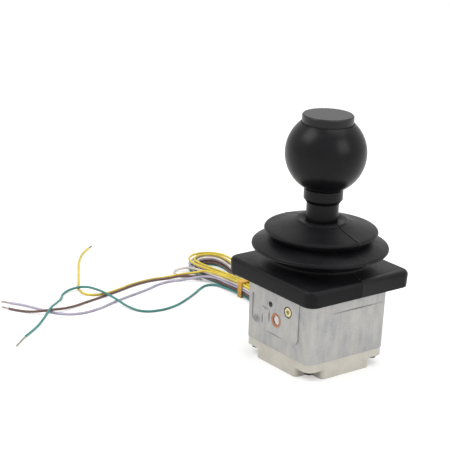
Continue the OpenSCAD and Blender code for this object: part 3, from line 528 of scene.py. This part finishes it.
def make_skirt():
    """The square skirt: a block with rounded corners and a soft top edge, hollow from below."""
    side, height = sizes().skirt_w, SKIRT_H * MM
    bpy.ops.object.select_all(action="DESELECT")
    bpy.ops.mesh.primitive_cube_add(size=1, location=(0, 0, FLANGE_Z * MM + height / 2), scale=(side, side, height))
    obj = bpy.context.object
    obj.name = "boot_skirt"
    bpy.ops.object.transform_apply(location=True, rotation=True, scale=True)
    bpy.ops.object.mode_set(mode="EDIT")
    pick_edges(obj, lambda a, b: abs(a.z - b.z) > height / 2)
    bpy.ops.mesh.bevel(offset=6 * MM, segments=8, profile=0.5)
    pick_edges(obj, lambda a, b: min(a.z, b.z) > FLANGE_Z * MM + height - 1e-6)
    bpy.ops.mesh.bevel(offset=2.2 * MM, segments=5, profile=0.45)
    pick_faces(obj, lambda c, n: n.z < -0.9)
    bpy.ops.transform.resize(value=(0.992, 0.992, 1), center_override=(0, 0, FLANGE_Z * MM))
    bpy.ops.mesh.inset(thickness=2.3 * MM, use_even_offset=True)
    bpy.ops.mesh.extrude_region_move(TRANSFORM_OT_translate={"value": (0, 0, 6.04 * MM)})
    bpy.ops.object.mode_set(mode="OBJECT")
    bpy.ops.object.select_all(action="DESELECT")
    bpy.ops.mesh.primitive_cylinder_add(vertices=96, radius=26 * MM, depth=0.03,
                                        location=(0, 0, (FLANGE_Z + 8) * MM))
    cutter = bpy.context.object
    apply_modifier(obj, "BOOLEAN", object=cutter, operation="DIFFERENCE", solver="EXACT")
    bpy.data.objects.remove(cutter)
    return obj


def pick_edges(obj, wanted):
    """In edit mode, selects the edges whose two ends fit, and nothing else."""
    bpy.ops.mesh.select_mode(type="EDGE")
    bpy.ops.mesh.select_all(action="DESELECT")
    bpy.ops.object.mode_set(mode="OBJECT")
    places = [v.co for v in obj.data.vertices]
    for edge in obj.data.edges:
        edge.select = bool(wanted(places[edge.vertices[0]], places[edge.vertices[1]]))
    bpy.ops.object.mode_set(mode="EDIT")


def pick_faces(obj, wanted):
    """In edit mode, selects the faces whose centre and normal fit, and nothing else."""
    bpy.ops.mesh.select_mode(type="FACE")
    bpy.ops.mesh.select_all(action="DESELECT")
    bpy.ops.object.mode_set(mode="OBJECT")
    for face in obj.data.polygons:
        face.select = bool(wanted(face.center, face.normal))
    bpy.ops.object.mode_set(mode="EDIT")


def raise_parting_line(obj):
    """A fine ridge where the mould's halves meet, in the plane y = 0."""
    select_only(obj)
    bpy.ops.object.mode_set(mode="EDIT")
    for y in (-0.00035, 0.0, 0.00035):
        bpy.ops.mesh.select_all(action="SELECT")
        bpy.ops.mesh.bisect(plane_co=(0, y, 0), plane_no=(0, 1, 0))
    bpy.ops.mesh.select_mode(type="VERT")
    bpy.ops.mesh.select_all(action="DESELECT")
    bpy.ops.object.mode_set(mode="OBJECT")
    for vertex in obj.data.vertices:
        outward = vertex.normal.x * vertex.co.x > 0 or vertex.normal.z > 0.5
        vertex.select = abs(vertex.co.y) < 1e-5 and outward and vertex.co.z > FLANGE_Z * MM + 1e-4
    bpy.ops.object.mode_set(mode="EDIT")
    bpy.ops.transform.shrink_fatten(value=sizes().seam_h)
    bpy.ops.object.mode_set(mode="OBJECT")


# --------------------------------------------------------------------------------------
# Housing and cover


class JOYSTICK_OT_castings(bpy.types.Operator):
    """Breaks the edges of the cast housing and its cover, and adds the pits along the die's joint"""

    bl_idname = "joystick.castings"
    bl_label = "Housing and cover"

    def execute(self, context):
        casting = cast_aluminium()
        housing = edged_copy("housing", "cast_housing", sizes().edge_r)
        pits = make_pits()
        apply_modifier(housing, "BOOLEAN", object=pits, operation="DIFFERENCE", solver="EXACT")
        bpy.data.objects.remove(pits)
        # The cover: smoother and warmer than the housing, pale cream-grey with an even, low shine.
        cover_paint = finish_of("moulded_cover", looks().cover, "#bdb9ad", "#dcd9d0", 0.6, 8.0, 0.5, 0.06, 0.04,
                                ior=1.5)
        cover = edged_copy("bottom_cover", "moulded_cover", sizes().edge_r * 1.6)
        for piece, node, slot, material in (
            (housing, "housing", "die_casting", casting),
            (cover, "bottom_cover", "cover_moulding", cover_paint),
        ):
            dress(piece, material)
            smooth(piece, 30)
            apply_modifier(piece, "WEIGHTED_NORMAL", keep_sharp=True)
            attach(piece, "base")
            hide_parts(node)
        return {"FINISHED"}


def edged_copy(node, name, width):
    """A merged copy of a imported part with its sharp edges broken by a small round."""
    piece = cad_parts[node].copy()
    piece.data = piece.data.copy()
    piece.name = piece.data.name = name
    bpy.context.scene.collection.objects.link(piece)
    select_only(piece)
    bpy.ops.object.mode_set(mode="EDIT")
    bpy.ops.mesh.select_mode(type="VERT")
    bpy.ops.mesh.select_all(action="SELECT")
    bpy.ops.mesh.remove_doubles(threshold=2e-6)
    bpy.ops.mesh.dissolve_limited(angle_limit=math.radians(0.6))
    bpy.ops.object.mode_set(mode="OBJECT")
    apply_modifier(piece, "BEVEL", width=width, segments=2, limit_method="ANGLE",
                   angle_limit=math.radians(50), miter_outer="MITER_ARC")
    return piece


def make_pits():
    """The ragged row of small pits that the die's joint leaves on the right face."""
    random = Random(7)
    bpy.ops.object.select_all(action="DESELECT")
    pits = []
    y = -15.8
    while y < 23.5:
        radius = random.uniform(0.16, 0.42)
        z = JOINT_Z + random.uniform(-0.22, 0.22) - (0.5 if y < -12 else 0)
        bpy.ops.mesh.primitive_ico_sphere_add(
            subdivisions=1, radius=radius * MM, location=(27.96 * MM, y * MM, z * MM),
            rotation=(random.uniform(0, 3), random.uniform(0, 3), 0),
            scale=(1, random.uniform(1.0, 2.4), random.uniform(0.7, 1.0)))
        pits.append(bpy.context.object)
        y += random.uniform(0.5, 1.9)
    for pit in pits:
        pit.select_set(True)
    bpy.ops.object.join()
    return bpy.context.object


def cast_aluminium():
    """Raw die-cast aluminium: a grey skin with bluish and warm flow marks, a fine sandy grain, and painted shade in
    dark patches by the front pad, its recess and the row of pits.
    """
    material, tree, output, place = new_material("raw_die_cast_aluminium")
    flow_place = add_node(tree, "ShaderNodeMapping", {"Vector": place, "Scale": (1.0, 1.0, 0.28)})
    flow = add_node(tree, "ShaderNodeTexNoise", {
        "Vector": flow_place.outputs[0], "Scale": per_metre(5.5), "Detail": 5.0, "Roughness": 0.62})
    cloud = add_node(tree, "ShaderNodeTexNoise", {
        "Vector": place, "Scale": per_metre(13.0), "Detail": 3.0, "Roughness": 0.55})
    grain = add_node(tree, "ShaderNodeTexNoise", {
        "Vector": place, "Scale": per_metre(0.55), "Detail": 3.0, "Roughness": 0.6})
    steps = add_node(tree, "ShaderNodeMapRange", {"Value": flow.outputs["Fac"], "From Min": 0.34, "From Max": 0.66})
    skin = add_node(tree, "ShaderNodeMix", {
        0: steps.outputs[0], 6: linear("#98989a"), 7: linear(looks().casting)}, data_type="RGBA")
    warm = add_node(tree, "ShaderNodeMapRange", {
        "Value": cloud.outputs["Fac"], "From Min": 0.45, "From Max": 0.7, "To Max": 0.35})
    tinted = add_node(tree, "ShaderNodeMix", {
        0: warm.outputs[0], 6: skin.outputs[2], 7: linear("#bdbab0")}, data_type="RGBA")
    fleck = add_node(tree, "ShaderNodeMapRange", {
        "Value": grain.outputs["Fac"], "From Min": 0.58, "From Max": 0.75, "To Max": 0.5})
    flecked = add_node(tree, "ShaderNodeMix", {
        0: fleck.outputs[0], 6: tinted.outputs[2], 7: linear("#dedcd6")}, data_type="RGBA")
    # Painted shade: soft dark patches along the front pad's lower and left edges, a T-shaped mark where a shallow
    # pocket would shade, the recess left of the pad, and a band along the row of pits on the right face.
    painted_shade_mask = None
    for centre, radii in (
        ((-10.0, -28.0, 31.6), (4.6, 3.0, 1.0)), ((-6.0, -28.0, 28.0), (1.1, 3.0, 5.6)),
        ((-12.6, -28.0, 24.5), (1.0, 3.0, 4.5)), ((-1.5, -28.0, 18.6), (10.5, 3.0, 0.9)),
        ((-17.5, -28.0, 23.0), (4.2, 3.0, 3.0)), ((28.0, 3.5, JOINT_Z), (3.0, 24.0, 0.75)),
    ):
        spot = add_node(tree, "ShaderNodeMapping", {
            "Vector": place, "Location": tuple(c * MM for c in centre), "Scale": tuple(r * MM for r in radii)},
            vector_type="TEXTURE")
        painted_shade_blob = add_node(tree, "ShaderNodeTexGradient", {"Vector": spot.outputs[0]}, gradient_type="SPHERICAL")
        painted_shade_mask = painted_shade_blob.outputs["Fac"] if painted_shade_mask is None else add_node(
            tree, "ShaderNodeMath", {0: painted_shade_mask, 1: painted_shade_blob.outputs["Fac"]}, operation="MAXIMUM").outputs[0]
    # The painted shade, broken up by the flow marks, darkens the skin towards #5a5a5e.
    broken_painted_shade = add_node(tree, "ShaderNodeMath", {0: painted_shade_mask, 1: flow.outputs["Fac"]}, operation="MULTIPLY")
    painted_shade_amount = add_node(tree, "ShaderNodeMapRange", {
        "Value": broken_painted_shade.outputs[0], "From Min": 0.05, "From Max": 0.4, "To Max": 0.75})
    colour = add_node(tree, "ShaderNodeMix", {
        0: painted_shade_amount.outputs[0], 6: flecked.outputs[2], 7: linear("#5a5a5e")}, data_type="RGBA")
    roughness = add_node(tree, "ShaderNodeMapRange", {
        "Value": flow.outputs["Fac"], "From Min": 0.3, "From Max": 0.7, "To Min": 0.42, "To Max": 0.6})
    bump = add_node(tree, "ShaderNodeBump", {"Height": grain.outputs["Fac"], "Distance": 0.05 * MM, "Strength": 1.0})
    shader = add_node(tree, "ShaderNodeBsdfPrincipled", {
        "Base Color": colour.outputs[2], "Roughness": roughness.outputs[0], "Normal": bump.outputs["Normal"],
        "Metallic": 0.7})
    tree.links.new(shader.outputs["BSDF"], output.inputs["Surface"])
    return material


# --------------------------------------------------------------------------------------
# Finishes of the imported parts


class JOYSTICK_OT_metal(bpy.types.Operator):
    """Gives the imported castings, pins, springs and fasteners their finishes"""

    bl_idname = "joystick.metal"
    bl_label = "Metal parts"

    def execute(self, context):
        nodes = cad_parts
        # Ground steel: a clean bright silver with crisp reflections.
        steel = finish_of("ground_steel", "#c8c8c6", "#a9a9a8", "#e6e6e4", 0.2, 3.0, 0.24, 0.06, 0.01, metallic=1.0)
        # Black oxide steel: dark grey screws with a thin oily shine.
        black = finish_of("black_oxide_steel", "#2c2c2e", "#1e1e20", "#4a4a4c", 0.4, 3.0, 0.45, 0.08, 0.02,
                          metallic=0.8)
        # Drawn spring steel: mid grey wire, brighter along its length.
        wire = finish_of("drawn_spring_steel", "#8e8e90", "#6c6c6e", "#b9b9ba", 0.3, 4.0, 0.3, 0.06, 0.01,
                         metallic=1.0)
        # Sintered bronze: an open-grained, matt brownish copper.
        bronze = finish_of("sintered_bronze", "#b08062", "#8d6446", "#cfa588", 0.25, 1.6, 0.42, 0.08, 0.03,
                           metallic=0.9)
        # Tumbled zinc: a dull even grey, its edges softened by tumbling.
        zinc = finish_of("tumbled_zinc", "#86878a", "#6f7073", "#a7a8ab", 0.5, 5.0, 0.45, 0.08, 0.04, metallic=0.85)
        # Yellow zinc plate: a pale straw metal with faint shifts of tint.
        plated = finish_of("yellow_zinc_plate", "#cfc6a0", "#b5a877", "#e6dfc0", 0.3, 1.4, 0.3, 0.08, 0.01,
                           metallic=0.95)
        # Nickel plate: a warm silver, the smoothest metal in the part.
        magnet = finish_of("nickel_plate", "#c9c8c4", "#b2b1ad", "#e0dfdb", 0.3, 2.0, 0.2, 0.05, 0.01, metallic=1.0)
        for material, names in (
            (steel, ("spring_post", "front_shaft", "rear_shaft", "cross_pin", "drive_pin", "hub_pin", "lever_rod")),
            (black, ("cover_screws", "gate_screws", "board_screws", "pin_circlips", "set_screw", "button_clip")),
            (wire, ("main_spring", "cross_spring", "button_spring")),
            (bronze, ("front_bush", "rear_bush")),
            (zinc, ("gimbal_ring", "gate_plate", "lever_hub", "guide_plate")),
            (plated, ("post_screw",)),
            (magnet, ("magnet",)),
        ):
            for name in names:
                dress(nodes[name], material)
        return {"FINISHED"}


def turned_acetal():
    """Black acetal faced on a lathe: a satin black with low rings, drawn coarser than real ones so that they show."""
    material, tree, output, place = new_material("turned_acetal")
    ring = add_node(tree, "ShaderNodeTexWave", {
        "Vector": place, "Scale": 2 * math.pi / 20 * per_metre(RING_PITCH_MM), "Distortion": 0.15, "Detail": 1.0},
        wave_type="RINGS", rings_direction="Z")
    grain = add_node(tree, "ShaderNodeTexNoise", {"Vector": place, "Scale": per_metre(0.5), "Detail": 2.0})
    tone = add_node(tree, "ShaderNodeMix", {
        0: grain.outputs["Fac"], 6: linear(looks().button), 7: linear("#202022")}, data_type="RGBA")
    bump = add_node(tree, "ShaderNodeBump", {"Height": ring.outputs["Fac"], "Distance": 0.012 * MM, "Strength": 1.0})
    shader = add_node(tree, "ShaderNodeBsdfPrincipled", {
        "Base Color": tone.outputs[2], "Roughness": 0.34, "Normal": bump.outputs["Normal"], "IOR": 1.48,
        "Specular IOR Level": 0.27})
    tree.links.new(shader.outputs["BSDF"], output.inputs["Surface"])
    return material


class JOYSTICK_OT_plastic(bpy.types.Operator):
    """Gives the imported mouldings, the board and the inner leads their finishes"""

    bl_idname = "joystick.plastic"
    bl_label = "Plastic parts"

    def execute(self, context):
        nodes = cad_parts
        # Moulded phenolic: a hard, smooth black with soft-edged lamps in it.
        knob = finish_of("moulded_phenolic", looks().knob, "#0e0e10", "#1a1a1c", 0.4, 16.0, 0.3, 0.05, 0.012,
                         ior=1.55, gloss=0.13)
        button = turned_acetal()
        # Grommet rubber: a matt charcoal, a little paler than the boot.
        rubber = finish_of("grommet_rubber", "#2b2b2d", "#212123", "#3a3a3c", 0.4, 6.0, 0.55, 0.06, 0.02, ior=1.5)
        # Solder mask: a glassy dark green over copper.
        board = finish_of("solder_mask", "#1f5a34", "#174a2a", "#2f7247", 0.5, 6.0, 0.35, 0.06, 0.01, ior=1.55)
        # Chip epoxy: a fine-grained, matt near-black.
        chip = finish_of("chip_epoxy", "#202022", "#171719", "#313133", 0.3, 3.0, 0.5, 0.05, 0.01, ior=1.55)
        # Ivory nylon: a milky, slightly waxy cream.
        nylon = finish_of("ivory_nylon", "#e4dcc2", "#d6cdb0", "#f0ead6", 0.5, 3.0, 0.42, 0.05, 0.01, ior=1.53)
        red = insulation("red_pvc_insulation", "#a83230")
        mixed = insulation("mixed_pvc_insulation", "#c9b978")
        for material, names in (
            (knob, ("stem_sleeve", "knob_collar", "knob_ball")),
            (button, ("push_button",)),
            (rubber, ("cable_grommet",)),
            (board, ("circuit_board",)),
            (chip, ("hall_sensor", "microswitch", "magnet_holder")),
            (nylon, ("lead_connector", "switch_plunger")),
            (red, ("button_leads", "flex_lead")),
            (mixed, ("inner_leads",)),
            (insulation("amber_tie_pvc", looks().tie), ("hank_tie",)),
        ):
            for name in names:
                dress(nodes[name], material)
        return {"FINISHED"}


# --------------------------------------------------------------------------------------
# Stage


def seen_rays(tree):
    """1 for the rays that show the white surroundings, straight or in a shine or glass."""
    path = add_node(tree, "ShaderNodeLightPath")
    seen = path.outputs["Is Camera Ray"]
    for ray in ("Is Glossy Ray", "Is Transmission Ray"):
        seen = add_node(tree, "ShaderNodeMath", {0: seen, 1: path.outputs[ray]}, operation="MAXIMUM").outputs[0]
    return seen


class JOYSTICK_OT_stage(bpy.types.Operator):
    """Sets the white bench, the soft lamps and the plain surroundings"""

    bl_idname = "joystick.stage"
    bl_label = "Stage"

    def execute(self, context):
        scene = context.scene
        scene.view_settings.view_transform = "Standard"
        bpy.ops.object.select_all(action="DESELECT")
        bpy.ops.mesh.primitive_plane_add(size=BENCH_SIDE, location=(0, 0, 0))
        floor = context.object
        floor.name = "bench"
        material, tree, output, _ = new_material("white_paper")
        paper = add_node(tree, "ShaderNodeBsdfDiffuse", {"Color": linear("#e2e2e2")})
        glow = add_node(tree, "ShaderNodeEmission", {"Color": linear("#ffffff"), "Strength": 0.34})
        seen = add_node(tree, "ShaderNodeMixShader", {0: seen_rays(tree)})
        dark = add_node(tree, "ShaderNodeEmission", {"Strength": 0.0})
        tree.links.new(dark.outputs[0], seen.inputs[1])
        tree.links.new(glow.outputs[0], seen.inputs[2])
        both = add_node(tree, "ShaderNodeAddShader")
        tree.links.new(paper.outputs[0], both.inputs[0])
        tree.links.new(seen.outputs[0], both.inputs[1])
        tree.links.new(both.outputs[0], output.inputs["Surface"])
        dress(floor, material)
        for name, place, size, power in (
            ("key", (-0.45, -0.9, 1.15), 0.8, 9.0),
            ("top", (0.15, 0.35, 1.3), 1.0, 7.0),
            ("side", (1.1, 0.25, 0.7), 0.7, 5.0),
        ):
            data = bpy.data.lights.new(name, "AREA")
            data.shape, data.size, data.energy = "SQUARE", size, power
            lamp = bpy.data.objects.new(name, data)
            scene.collection.objects.link(lamp)
            lamp.location = place
            lamp.rotation_mode = "QUATERNION"
            lamp.rotation_quaternion = (Vector(place) - Vector((0, 0, 0.06))).to_track_quat("Z", "Y")
        world = bpy.data.worlds.new("studio")
        scene.world = world
        world.use_nodes = True
        tree = world.node_tree
        tree.nodes.clear()
        strength = add_node(tree, "ShaderNodeMapRange", {
            "Value": seen_rays(tree), "To Min": 0.62, "To Max": 1.0})
        sky = add_node(tree, "ShaderNodeBackground", {
            "Color": (1, 1, 1, 1), "Strength": strength.outputs["Result"]})
        add_node(tree, "ShaderNodeOutputWorld", {"Surface": sky.outputs[0]})
        return {"FINISHED"}


class JOYSTICK_PT_panel(bpy.types.Panel):
    """Lists the joystick's sizes, colours and pieces"""

    bl_idname = "JOYSTICK_PT_panel"
    bl_label = "Joystick"
    bl_space_type = "VIEW_3D"
    bl_region_type = "UI"
    bl_category = "Joystick"

    def draw(self, context):
        for group in (context.scene.joystick_sizes, context.scene.joystick_looks):
            for name in group.__annotations__:
                self.layout.prop(group, name)
        for step in STEPS:
            self.layout.operator(step.bl_idname)


STEPS = (
    JOYSTICK_OT_camera,
    JOYSTICK_OT_leads,
    JOYSTICK_OT_boot,
    JOYSTICK_OT_castings,
    JOYSTICK_OT_metal,
    JOYSTICK_OT_plastic,
    JOYSTICK_OT_stage,
)
CLASSES = (JoystickSizes, JoystickLooks, *STEPS, JOYSTICK_PT_panel)


def register():
    for kind in CLASSES:
        bpy.utils.register_class(kind)
    bpy.types.Scene.joystick_sizes = bpy.props.PointerProperty(type=JoystickSizes)
    bpy.types.Scene.joystick_looks = bpy.props.PointerProperty(type=JoystickLooks)


def unregister():
    del bpy.types.Scene.joystick_looks
    del bpy.types.Scene.joystick_sizes
    for kind in reversed(CLASSES):
        bpy.utils.unregister_class(kind)


def main():
    register()
    for step in STEPS:
        area, name = step.bl_idname.split(".")
        getattr(getattr(bpy.ops, area), name)()


if __name__ == "__main__":
    main()
